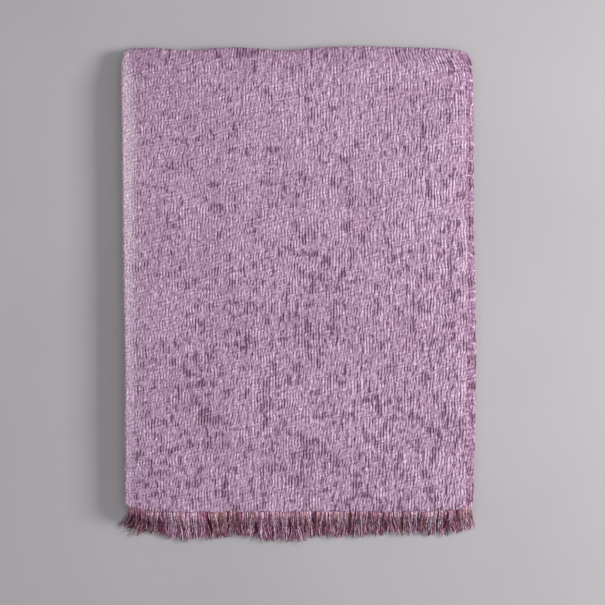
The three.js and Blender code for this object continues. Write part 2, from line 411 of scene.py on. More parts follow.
@dataclass(frozen=True)
class Throw:
    """Gives the place in the frame of any point of the folded throw, as it settles on the floor."""

    plan: FoldPlan = FoldPlan()
    sag_depth: float = 6.0
    sag_length: float = 38.0
    sag_free_height: float = 3.0
    right_edge_droop: float = 0.1
    left_edge_droop: float = 0.03
    edge_droop_width: float = 24.0
    lower_layers_inset: float = 0.008
    corner_narrowing: float = 0.011
    corner_length: float = 20.0
    root_curve_length: float = 90.0
    outline_steps: tuple[int, int] = (400, 600)
    shift: Span = (0.0, 0.0)

    def settle(self, x: Array, y: Array, z: Array) -> Array:
        """Moves points of the evenly folded throw to where they lie.

        Args:
            x: Places across.
            y: Places along.
            z: Heights.

        Returns:
            The settled points, with three columns, in the frame.
        """
        half_width, half_length = self.plan.width / 2, self.plan.length / 2
        droop_from = half_width - self.edge_droop_width
        droop = self.right_edge_droop * smoothstep(droop_from, half_width, x)
        droop = droop + self.left_edge_droop * smoothstep(droop_from, half_width, -x)
        wave = sum(
            wave.share
            * np.sin(2 * np.pi * (x / wave.span_across + y / wave.span_along) + wave.start)
            for wave in WAVES
        )
        settled = z * (1 + wave) * (1 - droop)
        overhang = smoothstep(self.plan.top_fold - self.sag_length, self.plan.top_fold, y)
        unheld = smoothstep(self.sag_free_height, self.plan.pack_pitch, settled)
        near_fringe = smoothstep(half_length - self.root_curve_length, half_length, -y)
        along = (
            y
            + smoothstep(0, half_length, y) * read_table(COLUMNS, "top_out", x)
            + near_fringe * read_table(COLUMNS, "root_in", x)
        )
        right_share = (1 + x / half_width) / 2
        drift = (1 - right_share) * read_table(ROWS, "left", y)
        drift = drift + right_share * read_table(ROWS, "right", y)
        near_corner = smoothstep(half_length - self.corner_length, half_length, y)
        narrowing = self.corner_narrowing * near_corner + self.lower_layers_inset * (
            1 - z / self.plan.stack_height
        )
        across = x * (1 - narrowing) + drift + self.shift[0]
        height = settled - self.sag_depth * overhang * unheld
        return np.stack([across, along + self.shift[1], height], -1)

    def place(self, across: Array, along: Array, lift: Array) -> Array:
        """The points that lie at a place of the cloth, lifted out of its middle.

        Args:
            across: Places across the flat cloth.
            along: Places along the flat cloth.
            lift: How far out of the sheet's middle, on its outer side.

        Returns:
            The points, with three columns, in the frame.
        """
        middle, facing = self.plan.section.at(across)
        x = middle[..., 0] + lift * facing[..., 0]
        height = middle[..., 1] + lift * facing[..., 1]
        base, upward = self.plan.path.at(along)
        y = base[..., 0] + height * upward[..., 0]
        z = base[..., 1] + height * upward[..., 1]
        return self.settle(x, y, z)

    def set_in_frame(self) -> "Throw":
        """The same throw moved to where the frame's cloth lies.

        Returns:
            The throw with its shift set from the box of the cloth's solid.
        """
        lengths = (self.plan.section.length, self.plan.path.length)
        steps = (np.linspace(0, length, count) for length, count in zip(lengths, self.outline_steps))
        across, along = np.meshgrid(*steps)
        outline = self.place(across, along, np.full(across.shape, self.plan.thickness / 2))
        low, high = outline.min((0, 1)), outline.max((0, 1))
        box_low, box_high = (np.array(corner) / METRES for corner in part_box(Node.CLOTH.value))
        middle = (box_low + box_high - low - high) / 2
        return Throw(plan=self.plan, shift=(float(middle[0]), float(middle[1])))


# The weave's relief


class Trend(NamedTuple):
    """How the crinkle changes at one place across the top layer."""

    across: float
    strength: float
    flecks: float
    rows: float


class EdgeBand(NamedTuple):
    """How wide the cloth is pulled smooth beside the two folds, and how strong the painted sheen along the
    left one is.
    """

    along: float
    left: float
    right: float
    pale: float


TRENDS = (
    Trend(across=-216, strength=0.8, flecks=-0.5, rows=0.8),
    Trend(across=-190, strength=0.8, flecks=-0.35, rows=0.75),
    Trend(across=-120, strength=0.95, flecks=0.0, rows=0.65),
    Trend(across=0, strength=1.08, flecks=0.1, rows=0.5),
    Trend(across=110, strength=1.22, flecks=0.15, rows=0.42),
    Trend(across=180, strength=1.5, flecks=0.35, rows=0.45),
    Trend(across=216, strength=1.5, flecks=0.5, rows=0.5),
)
# The pale column sets how strong the painted sheen along the left fold is.
EDGE_BANDS = (
    EdgeBand(along=-286, left=7, right=8, pale=0.3),
    EdgeBand(along=-200, left=9, right=9, pale=0.45),
    EdgeBand(along=-60, left=10, right=9, pale=0.65),
    EdgeBand(along=80, left=12, right=7, pale=0.95),
    EdgeBand(along=210, left=13, right=7, pale=1),
    EdgeBand(along=286, left=8, right=7, pale=1),
)


# The patch's mesh has three columns a rib: one in the groove and two on the ridge
GROOVES = slice(0, None, 3)
RIDGES = slice(1, None, 3)
FAR_SIDES = slice(2, None, 3)


def to_columns(ridges: Array, grooves: Array) -> Array:
    """Spreads values over the columns of the patch's mesh.

    Args:
        ridges: The ridges' values, a column for each rib.
        grooves: The grooves' values, one column more.

    Returns:
        The values on every column, from groove to groove.
    """
    spread = np.empty((ridges.shape[0], 2 * ridges.shape[1] + grooves.shape[1]))
    spread[:, GROOVES], spread[:, RIDGES], spread[:, FAR_SIDES] = grooves, ridges, ridges
    return spread


@dataclass(frozen=True)
class Ribs:
    """How the ribs stand up in gathered rows and lie calm between them."""

    row: float = 15.0
    row_tilt: float = 0.09
    row_sway: Bumps = Bumps(3.0, 40, 60)
    standing: float = 0.36
    own: Bumps = Bumps(1.0, 1.3, 0.6)
    own_share: Span = (1.1, 0.8)
    groove_own: Bumps = Bumps(0.25, 0.95, 0.4)
    middle: float = 0.55
    ridge: float = 0.34
    ridge_span: Span = (-1.0, 1.9)
    groove: float = 0.48
    groove_span: Span = (-0.9, 1.7)
    evened_over: int = 4
    stitch: Bumps = Bumps(0.17, 0.1, 0.1)
    highest: float = 1.15

    def draw(self, rng: np.random.Generator, x: Array, along: Array, strength: Array) -> Array:
        """Draws how high each place is on its rib.

        Args:
            rng: The seeded source.
            x: Places across the throw.
            along: Places along the cloth.
            strength: How strongly the cloth is crinkled there.

        Returns:
            The level, from 0 in a groove to about 1 on a ridge.
        """
        by_rib = (len(x), x[:, RIDGES].shape[1])
        sway = self.row_sway.over(rng, x.shape)
        gathered = np.cos(2 * np.pi * (along - self.row_tilt * x + sway) / self.row)
        in_rows = read_table(TRENDS, "rows", x)
        most, less = self.own_share
        stands = self.standing + (in_rows * gathered)[:, RIDGES]
        stands += (most - less * in_rows)[:, RIDGES] * self.own.over(rng, by_rib)
        beyond = np.pad(stands, ((0, 0), (1, 1)), mode="edge")
        between = (beyond[:, 1:] + beyond[:, :-1]) / 2
        between += self.groove_own.over(rng, between.shape)
        ridge = self.ridge * np.clip(stands, *self.ridge_span)
        groove = self.groove * np.clip(between, *self.groove_span)
        level = self.middle + strength * to_columns(ridge, -groove)
        level -= self.beside(level) - self.middle
        level += self.stitch.over(rng, x.shape)
        return np.clip(level, 0, self.highest)

    def beside(self, level: Array) -> Array:
        """The mean of each level and of those beside it in its row.

        Args:
            level: The levels.

        Returns:
            The means.
        """
        reach = self.evened_over
        framed = np.pad(level, ((0, 0), (reach + 1, reach)), mode="edge")
        sums = np.cumsum(framed, axis=1)
        return (sums[:, 2 * reach + 1 :] - sums[:, : -2 * reach - 1]) / (2 * reach + 1)


@dataclass(frozen=True)
class Wander:
    """How far the ribs stray to the side, and lean to the left near the top right corner."""

    drift: Bumps = Bumps(0.3, 5.0, 4.0)
    kinks: Bumps = Bumps(1.4, 1.0, 2.2)
    kink: float = 0.45
    jitter: Bumps = Bumps(0.24, 0.8, 0.5)
    top_lean: float = 0.27
    top_length: float = 26.0
    top_span: Span = (90.0, 190.0)

    def draw(self, rng: np.random.Generator, x: Array, from_top: Array) -> Array:
        """Draws how far each place is shifted to the right.

        Args:
            rng: The seeded source.
            x: Places across the throw.
            from_top: How far beyond the top fold's start each place lies, along the cloth.

        Returns:
            The shifts.
        """
        by_groove = (len(x), x[:, GROOVES].shape[1])
        shift = self.drift.over(rng, by_groove)
        shift += self.kink * np.tanh(self.kinks.over(rng, by_groove))
        shift += self.jitter.over(rng, by_groove)
        shift = to_columns((shift[:, 1:] + shift[:, :-1]) / 2, shift)
        near_top = np.clip((from_top + self.top_length) / self.top_length, 0, 1)
        return shift - self.top_lean * self.top_length * near_top**2 * smoothstep(*self.top_span, x)


@dataclass(frozen=True)
class Flecks:
    """Where the dark yarn shows: streaks in the deeper grooves, and a few fine slanting ones."""

    groups: Bumps = Bumps(0.24, 4.0, 3.0)
    streaks: Bumps = Bumps(1.0, 1.1, 0.28)
    streak_span: Span = (1.22, 1.55)
    streak_trend: float = 0.7
    depth_share: float = 1.6
    even_depth: float = 0.35
    ridge_share: float = 0.22
    slants: Bumps = Bumps(1.0, 1.0, 0.4)
    slant_span: Span = (1.7, 2.6)
    slant_trend: float = 0.5
    slant_share: float = 0.8
    columns_in_row: float = 0.4
    fewer: float = 0.28

    def draw(self, rng: np.random.Generator, trend: Array, rib: Array) -> Array:
        """Draws how dark each place is.

        Args:
            rng: The seeded source.
            trend: How much more than usual the dark yarn shows there.
            rib: How high the place is on its rib.

        Returns:
            The darkness, from 0 to 1.
        """
        grooves = rib[:, GROOVES].shape
        streak = self.groups.over(rng, grooves)
        streak += self.streaks.over(rng, grooves)
        bias = trend - self.fewer
        deep = (self.streak_trend * bias - self.depth_share * (rib - self.even_depth))[:, GROOVES]
        dark = smoothstep(*self.streak_span, streak + deep)
        slants = self.leaning(self.slants.over(rng, rib.shape)) + self.slant_trend * bias
        slant = smoothstep(*self.slant_span, slants)
        on_ridges = self.ridge_share * (dark[:, 1:] + dark[:, :-1])
        return np.maximum(to_columns(on_ridges, dark), self.slant_share * slant)

    def leaning(self, values: Array) -> Array:
        """Slants streaks to the left as they go up the throw.

        Args:
            values: The streaks, with a row for each row of the patch.

        Returns:
            The same streaks, each row shifted a little further than the one before.
        """
        places = np.arange(values.shape[1])
        shifted = ((places + self.columns_in_row * row) % len(places) for row in range(len(values)))
        return np.stack([np.interp(at, places, row) for at, row in zip(shifted, values)])


@dataclass
class WorkedPatch:
    """The part of the cloth whose ribs are modelled: the top layer's outer face with the folds round it."""

    throw: Throw
    ribs: Ribs = Ribs()
    wander: Wander = Wander()
    flecks: Flecks = Flecks()
    rib_pitch: float = 3.62
    row_pitch: float = 2.7
    turn_rows: int = 8
    relief: float = 1.0
    slip: Bumps = Bumps(0.9, 1.4, 14.0)
    hem: Bumps = Bumps(0.8, 0.1, 3.0)
    grain: Bumps = Bumps(0.13, 0.2, 0.2)
    pucker: Bumps = Bumps(0.06, 6.0, 14.0)
    lower_span: Span = (0.0, 560.0)
    lower_strength: Span = (0.9, 0.2)
    left_pull: Span = (0.4, 1.5)
    right_pull: Span = (0.5, 1.3)
    pulled_flat: float = 0.45
    held_margins: Span = (6.0, 12.0)
    worked_margins: Span = (3.0, 6.0)
    hem_length: float = 10.0
    slip_from_hem: Span = (-1.0, 8.0)
    seed: int = 11

    def __post_init__(self) -> None:
        """Lays out the columns and rows of the patch."""
        section, path = self.throw.plan.section.ends, self.throw.plan.path.ends
        rib_count = round((section[3] - section[0]) / self.rib_pitch)
        straight_rows = round(path[0] / self.row_pitch)
        self.across = np.linspace(section[0], section[3], 3 * rib_count + 1)
        straight = np.linspace(0, path[0], straight_rows + 1)
        turned = np.linspace(path[0], path[1], self.turn_rows + 1)
        self.along = np.concatenate([straight, turned[1:]])
        self.left_fold, self.right_fold, self.top_fold = section[1], section[2], path[0]

    def pulled(self, across: Array, along: Array) -> tuple[Array, Array]:
        """How far the cloth is pulled smooth by the folds on the left and on the right.

        Args:
            across: Places across the flat cloth.
            along: Places along the flat cloth.

        Returns:
            The pull of the left fold and of the right fold, each from 0 to 1.
        """
        y = along - self.throw.plan.length / 2
        from_left = (across - self.left_fold) / read_table(EDGE_BANDS, "left", y)
        from_right = (self.right_fold - across) / read_table(EDGE_BANDS, "right", y)
        return 1 - smoothstep(*self.left_pull, from_left), 1 - smoothstep(*self.right_pull, from_right)

    def inside(self, margins: Span) -> Array:
        """Rises softly from the patch's seams inwards.

        Args:
            margins: How wide the rise is from the two sides, and from the end.

        Returns:
            The rise at each point, from 0 on the seams to 1.
        """
        from_side = np.minimum(self.across - self.across[0], self.across[-1] - self.across)
        from_end = (self.along[-1] - self.along)[:, None]
        return smoothstep(0, margins[0], from_side)[None, :] * smoothstep(0, margins[1], from_end)

    def build(self) -> dict[str, Array]:
        """Works out the patch's points and what they carry.

        Returns:
            The points and each value, as grids with a row for each row along the cloth.
        """
        plan = self.throw.plan
        rng = np.random.default_rng(self.seed)
        across, along = np.meshgrid(self.across, self.along)
        shape, x = across.shape, across - (self.left_fold + self.right_fold) / 2
        lower = 1 - smoothstep(*self.lower_span, along)
        least, more = self.lower_strength
        strength = read_table(TRENDS, "strength", x) * (least + more * lower)

        rib = self.ribs.draw(rng, x, along, strength)
        aside = self.wander.draw(rng, x, along - self.top_fold)
        ahead = self.slip.over(rng, shape)
        hem = self.hem.over(rng, (1, shape[1])) * (1 - smoothstep(0, self.hem_length, along))
        fleck = self.flecks.draw(rng, read_table(TRENDS, "flecks", x) + lower, rib)

        left, right = self.pulled(across, along)
        held, worked = self.inside(self.held_margins), self.inside(self.worked_margins)
        calm = 1 - self.pulled_flat * np.maximum(left, right)
        lift = self.relief * (rib - self.ribs.middle) * calm * worked
        lift += self.grain.over(rng, shape) * worked
        lift += self.pucker.over(rng, shape) * worked
        points = self.throw.place(
            across + aside * held,
            along + ahead * held * smoothstep(*self.slip_from_hem, along) + hem * held,
            plan.thickness / 2 + lift,
        )
        return {
            "points": points,
            "across": across,
            "along": along,
            Layer.RIB.value: rib,
            Layer.FLECK.value: fleck * (1 - left),
            # Painted sheen beside the left fold, weakened along the cloth by the pale column
            Layer.PAINTED_SHEEN.value: left * read_table(EDGE_BANDS, "pale", along - plan.length / 2),
            # Painted shade beside the right fold, with its weft lines
            Layer.SHADE_AND_WEFT.value: right,
            Layer.WORKED.value: worked,
        }


# Meshes


class Draft:
    """A mesh in the making: points, what they carry and the faces between them."""

    VALUES = (Layer.RIB, Layer.FLECK, Layer.PAINTED_SHEEN, Layer.SHADE_AND_WEFT, Layer.WORKED)

    def __init__(self) -> None:
        """Starts an empty draft."""
        self.points, self.flat, self.values = [], [], []
        self.quads, self.triangles = [], []
        self.count = 0

    def add(self, points: Array, across: Array, along: Array, values: Sequence[Array]) -> Array:
        """Adds points.

        Args:
            points: The points, with three columns.
            across: Where each lies across the flat cloth.
            along: Where each lies along the flat cloth.
            values: What each carries, in the order of VALUES.

        Returns:
            The numbers of the points, in the shape of across.
        """
        self.points.append(points.reshape(-1, 3))
        self.flat.append(np.stack([across.ravel(), along.ravel()], -1))
        self.values.append(np.stack([value.ravel() for value in values], -1))
        numbers = np.arange(self.count, self.count + across.size).reshape(across.shape)
        self.count += across.size
        return numbers

    def fill(self, grid: Array, turned: bool = False) -> None:
        """Adds the faces of a grid of points, whose rows run along the cloth.

        Args:
            grid: The points' numbers.
            turned: Whether the faces look to the sheet's inner side.
        """
        corners = [grid[:-1, :-1], grid[:-1, 1:], grid[1:, 1:], grid[1:, :-1]]
        ordered = corners[::-1] if turned else corners
        self.quads.append(np.stack([corner.ravel() for corner in ordered], -1))

    def stitch(
        self, first: Array, second: Array, first_at: Array, second_at: Array, turned: bool = False
    ) -> None:
        """Joins two lines of points with a strip of triangles.

        Args:
            first: The numbers of the points on the first line.
            second: The numbers of the points on the second line.
            first_at: Where the first line's points lie along the strip, rising.
            second_at: Where the second line's points lie along the strip, rising.
            turned: Whether the strip looks the other way.
        """
        one, two, strip = 0, 0, []
        while one + 1 < len(first) or two + 1 < len(second):
            first_next = first_at[one + 1] if one + 1 < len(first) else math.inf
            second_next = second_at[two + 1] if two + 1 < len(second) else math.inf
            if first_next <= second_next:
                strip.append((first[one], second[two], first[one + 1]))
                one += 1
            else:
                strip.append((first[one], second[two], second[two + 1]))
                two += 1
        made = np.array(strip)
        self.triangles.append(made[:, ::-1] if turned else made)

    def mesh(self, name: str) -> bpy.types.Mesh:
        """Makes the mesh, with the flat cloth as its UV map.

        Args:
            name: The mesh's name.

        Returns:
            The mesh, in metres, smooth all over.
        """
        points = np.concatenate(self.points) * METRES
        quads, triangles = np.concatenate(self.quads), np.concatenate(self.triangles)
        corners = np.concatenate([quads.ravel(), triangles.ravel()])
        sizes = np.concatenate([np.full(len(quads), 4), np.full(len(triangles), 3)])
        mesh = bpy.data.meshes.new(name)
        mesh.vertices.add(len(points))
        mesh.vertices.foreach_set("co", points.ravel())
        mesh.loops.add(len(corners))
        mesh.loops.foreach_set("vertex_index", corners)
        mesh.polygons.add(len(sizes))
        mesh.polygons.foreach_set("loop_start", np.concatenate([[0], np.cumsum(sizes)[:-1]]))
        mesh.polygons.foreach_set("loop_total", sizes)
        mesh.update(calc_edges=True)
        flat = mesh.uv_layers.new(name=Layer.FLAT.value)
        flat.uv.foreach_set("vector", (np.concatenate(self.flat) * METRES)[corners].ravel())
        values = np.concatenate(self.values)
        for number, layer in enumerate(self.VALUES):
            keep_values(mesh, layer, values[:, number])
        mesh.shade_smooth()
        mesh.validate()
        return mesh


def keep_values(mesh: bpy.types.Mesh, layer: Layer, values: Array) -> None:
    """Keeps a value at each of a mesh's points."""
    attribute = mesh.attributes.new(layer.value, "FLOAT", "POINT")
    attribute.data.foreach_set("value", values.astype(np.float32))


def show(name: str, mesh: bpy.types.Mesh, finish: bpy.types.Material) -> bpy.types.Object:
    """Puts a finished mesh in the scene.

    Args:
        name: The piece's name.
        mesh: Its mesh, in the frame.
        finish: Its material.

    Returns:
        The object, at the origin.
    """
    mesh.name = name
    mesh.materials.clear()
    mesh.materials.append(finish)
    piece = bpy.data.objects.new(name, mesh)
    bpy.context.scene.collection.objects.link(piece)
    return piece


@dataclass
class Cloth:
    """The length of crinkle weave, one closed sheet through all its folds."""

    throw: Throw
    patch: WorkedPatch
    seam: float = 4.0
    hidden_column: float = 28.0
    inner_column: float = 28.0 / 1.5
    outer_column: float = 13.0
    row: float = 16.0
    turn_columns: tuple[int, int] = (6, 9)
    turn_rows: tuple[int, int] = (8, 14)
    clear_of_end: float = 0.4
    clear_of_side: float = 0.6
    pull_beyond: float = 12.0
    name: str = "crinkle_cloth"

    def stations(self, route: Route, spacing: Sequence[float], turns: Sequence[int]) -> Array:
        """Distances along a route, evenly spaced on each of its parts.

        Args:
            route: The route.
            spacing: The spacing on each straight stretch.
            turns: The steps of each fold.

        Returns:
            The distances, rising, with the route's two ends.
        """
        ends = np.concatenate([[0], route.ends])
        steps, straight, turned = [], iter(spacing), iter(turns)
        for start, end, part in zip(ends, ends[1:], route.parts):
            is_turn = isinstance(part, HalfTurn)
            count = next(turned) if is_turn else max(1, round((end - start) / next(straight)))
            steps.append(np.linspace(start, end, count + 1)[1:])
        return np.concatenate([[0], *steps])

    def with_lines(self, places: Array, lines: Sequence[float], clear: float) -> Array:
        """Adds lines to a row of places, and drops the places too near to a line."""
        kept = np.all([np.abs(places - line) > clear for line in lines], axis=0)
        return np.unique(np.concatenate([places[kept], lines]))

    def grid(self, draft: Draft, across: Array, along: Array, side: float) -> Array:
        """Adds a plain grid of points on one face of the sheet.

        Args:
            draft: The mesh in the making.
            across: The columns' places across the flat cloth.
            along: The rows' places along the flat cloth.
            side: 1 for the outer face and -1 for the inner one.

        Returns:
            The numbers of the points.
        """
        across, along = np.meshgrid(across, along)
        lift = np.full(across.shape, side * self.throw.plan.thickness / 2)
        left, right = self.patch.pulled(across, along)
        left = left * smoothstep(-self.pull_beyond, 0, across - self.patch.across[0])
        right = right * smoothstep(-self.pull_beyond, 0, self.patch.across[-1] - across)
        none = 0 * across
        # The pulls beside the folds carry the painted sheen on the left and the painted shade on the right.
        plain = [none + self.patch.ribs.middle, none, left, right, none]
        return draft.add(self.throw.place(across, along, lift), across, along, plain)

    def build(self) -> bpy.types.Mesh:
        """Builds the sheet: the worked patch, the plain rest of it and the strips between them.

        Returns:
            The closed mesh.
        """
        plan, patch, draft = self.throw.plan, self.patch, Draft()
        fine = patch.build()
        values = [fine[layer.value] for layer in Draft.VALUES]
        worked = draft.add(fine["points"], fine["across"], fine["along"], values)
        draft.fill(worked)

        sides = (patch.across[0] - self.seam, patch.across[-1] + self.seam)
        end_line = patch.along[-1] + self.seam
        hidden, inner, outer = self.hidden_column, self.inner_column, self.outer_column
        along = self.stations(plan.path, (self.row,) * 3, self.turn_rows)
        along = self.with_lines(along, (end_line,), self.clear_of_end * self.row)
        across = self.stations(plan.section, (hidden, outer, outer), self.turn_columns)
        across = self.with_lines(across, sides, self.clear_of_side * self.seam)
        inner_across = self.stations(plan.section, (hidden, inner, hidden), self.turn_columns)
        outside = self.grid(draft, across, along, 1)
        inside = self.grid(draft, inner_across, along, -1)
        left, right = (int(np.searchsorted(across, line)) for line in sides)
        end = int(np.searchsorted(along, end_line))
        between, before = slice(left, right + 1), slice(None, end + 1)
        draft.fill(outside[:, : left + 1])
        draft.fill(outside[:, right:])
        draft.fill(outside[end:, between])
        draft.fill(inside, turned=True)

        draft.stitch(outside[before, left], worked[:, 0], along[before], patch.along)
        draft.stitch(worked[:, -1], outside[before, right], patch.along, along[before])
        draft.stitch(worked[-1], outside[end, between], patch.across, across[between], True)
        shown_edge = np.concatenate([outside[0, : left + 1], worked[0], outside[0, right:]])
        shown_at = np.concatenate([across[: left + 1], patch.across, across[right:]])
        draft.stitch(inside[0], shown_edge, inner_across, shown_at, True)
        draft.stitch(outside[-1], inside[-1], across, inner_across, True)
        draft.stitch(inside[:, 0], outside[:, 0], along, along)
        draft.stitch(outside[:, -1], inside[:, -1], along, along)
        mesh = draft.mesh(self.name)
        self.drop_loose(mesh)
        return mesh

    def drop_loose(self, mesh: bpy.types.Mesh) -> None:
        """Removes the plain grid's points under the worked patch, which no face uses.

        Args:
            mesh: The cloth's mesh.
        """
        work = bmesh.new()
        work.from_mesh(mesh)
        loose = [vertex for vertex in work.verts if not vertex.link_faces]
        bmesh.ops.delete(work, geom=loose, context="VERTS")
        work.to_mesh(mesh)
        work.free()

    def dress(self, finish: "CrinkleWeave") -> bpy.types.Object:
        """Builds the cloth, gives it its finish and sets it in the frame.

        Args:
            finish: The weave's finish.

        Returns:
            The cloth.
        """
        piece = show(self.name, self.build(), finish.material(self.patch))
        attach(piece, ROOT_BODY)
        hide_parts(Node.CLOTH.value)
        return piece


# Node trees


def linear(colour: Colour) -> tuple[float, float, float, float]:
    """A colour in sRGB bytes as the linear light that sockets take, with full alpha."""
    shares = [byte / 255 for byte in colour]
    return (*(s / 12.92 if s <= 0.04045 else ((s + 0.055) / 1.055) ** 2.4 for s in shares), 1.0)


class Change(NamedTuple):
    """A soft change of a value: where it begins and is complete, and what it gives there."""

    low: float
    high: float
    before: float = 0.0
    after: float = 1.0


class Value:
    """One output in a node tree, on which sums can be written."""

    def __init__(self, nodes: "Nodes", socket: bpy.types.NodeSocket) -> None:
        """Keeps the output and its tree."""
        self.nodes, self.socket = nodes, socket

    def output(self, key: int | str) -> "Value":
        """Another output of the same node."""
        return Value(self.nodes, self.socket.node.outputs[key])

    def __add__(self, other: "Value | float") -> "Value":
        """The two values' sum."""
        return self.nodes.math("ADD", self, other)

    def __sub__(self, other: "Value | float") -> "Value":
        """This value less the other."""
        return self.nodes.math("SUBTRACT", self, other)

    def __rsub__(self, other: float) -> "Value":
        """The other less this value."""
        return self.nodes.math("SUBTRACT", other, self)

    def __mul__(self, other: "Value | float") -> "Value":
        """The two values' product."""
        return self.nodes.math("MULTIPLY", self, other)

    def __truediv__(self, other: float) -> "Value":
        """This value divided by the other."""
        return self.nodes.math("DIVIDE", self, other)

    def change(self, change: Change) -> "Value":
        """This value after a soft change."""
        inputs = dict(zip(("From Min", "From Max", "To Min", "To Max"), change), Value=self)
        return self.nodes.add("ShaderNodeMapRange", inputs, interpolation_type="SMOOTHSTEP")


class Nodes:
    """Adds nodes to one tree and joins them."""

    def __init__(self, tree: bpy.types.NodeTree) -> None:
        """Starts with an empty tree."""
        self.tree = tree
        tree.nodes.clear()

    def place(self, kind: str, inputs: dict | None = None, **settings: object) -> bpy.types.Node:
        """Places a node.

        Args:
            kind: The node's type.
            inputs: What each input is given, by its name or number. A colour is in sRGB bytes.
            settings: The node's own properties.

        Returns:
            The node.
        """
        node = self.tree.nodes.new(kind)
        for name, setting in settings.items():
            setattr(node, name, setting)
        for key, given in (inputs or {}).items():
            socket = node.inputs[key]
            if isinstance(given, Value):
                self.tree.links.new(given.socket, socket)
            else:
                socket.default_value = linear(given) if socket.type == "RGBA" else given
        return node

    def add(
        self, kind: str, inputs: dict | None = None, output: int | str = 0, **settings: object
    ) -> Value:
        """Places a node and gives one of its outputs, the first unless another is asked for."""
        return Value(self, self.place(kind, inputs, **settings).outputs[output])

    def math(self, operation: str, *values: Value | float, clamped: bool = False) -> Value:
        """The result of a sum, as Blender names it, kept from 0 to 1 where it is clamped."""
        inputs = dict(enumerate(values))
        return self.add("ShaderNodeMath", inputs, operation=operation, use_clamp=clamped)

    def attribute(self, layer: Layer) -> Value:
        """The value that a piece keeps under a name, in a material."""
        return self.add("ShaderNodeAttribute", output="Fac", attribute_name=layer.value)

    def vector(self, x: Value | float, y: Value | float, z: Value | float = 0.0) -> Value:
        """Three numbers as one vector."""
        return self.add("ShaderNodeCombineXYZ", {0: x, 1: y, 2: z})

    def noise(self, at: Value, scale: float, detail: float, rough: float = 0.5) -> Value:
        """Soft noise, around one half."""
        inputs = {"Vector": at, "Scale": scale, "Detail": detail, "Roughness": rough}
        return self.add("ShaderNodeTexNoise", inputs)

    def ramp(self, factor: Value, stops: Sequence[tuple[float, Colour]]) -> Value:
        """Adds a ramp of colours.

        Args:
            factor: Where on the ramp to read.
            stops: Places and their colours, rising.

        Returns:
            The colour.
        """
        node = self.place("ShaderNodeValToRGB", {0: factor})
        elements = node.color_ramp.elements
        while len(elements) < len(stops):
            elements.new(1.0)
        for element, (place, colour) in zip(elements, stops):
            element.position = place
            element.color = linear(colour)
        return Value(self, node.outputs["Color"])

    def mix(
        self, factor: Value | float, first: Value | Colour, second: Value | Colour, blend: str = "MIX"
    ) -> Value:
        """A mix of two colours, with so much of the second.

        The node's inputs 6 and 7 and its output 2 are the ones for colours.
        """
        inputs = {0: factor, 6: first, 7: second}
        return self.add("ShaderNodeMix", inputs, 2, data_type="RGBA", blend_type=blend)

    def surface(self, inputs: dict, bump: Value, bump_height: float) -> None:
        """Adds the shader and the output.

        Args:
            inputs: The shader's inputs.
            bump: Relief too fine for the mesh.
            bump_height: The relief's height.
        """
        relief = {"Height": bump, "Distance": bump_height * METRES, "Strength": 1.0}
        normal = self.add("ShaderNodeBump", relief)
        shader = self.add("ShaderNodeBsdfPrincipled", {**inputs, "Normal": normal})
        self.place("ShaderNodeOutputMaterial", {"Surface": shader})


def new_material(name: str) -> bpy.types.Material:
    """Starts a material that is made of nodes.

    Args:
        name: The material's name.

    Returns:
        The material.
    """
    material = bpy.data.materials.new(name)
    material.use_nodes = True
    return material


# Finishes


class Pattern(NamedTuple):
    """A soft random pattern on the cloth: its bumps' size across and along, and how fine it goes."""

    wide: float
    long: float
    detail: float = 2.0
    rough: float = 0.5


class ClothNodes(Nodes):
    """The nodes of the weave's material, which read places on the flat cloth in millimetres."""

    def __init__(self, tree: bpy.types.NodeTree) -> None:
        """Starts the tree with the places across and along the cloth.

        Args:
            tree: The material's tree.
        """
        super().__init__(tree)
        flat = self.add("ShaderNodeUVMap", uv_map=Layer.FLAT.value)
        apart = self.add("ShaderNodeSeparateXYZ", {0: flat})
        self.across, self.along = apart * (1 / METRES), apart.output(1) * (1 / METRES)

    def over(self, wide: float, long: float) -> Value:
        """Places measured in a pattern's own size."""
        return self.vector(self.across / wide, self.along / long)

    def pattern(self, pattern: Pattern) -> Value:
        """The value of a pattern, around one half."""
        return self.noise(self.over(pattern.wide, pattern.long), 1.0, pattern.detail, pattern.rough)


class Twill(NamedTuple):
    """A fine slanting line in the weave: its turns in a metre across and along, and how it shows."""

    across: float
    along: float
    shows: float


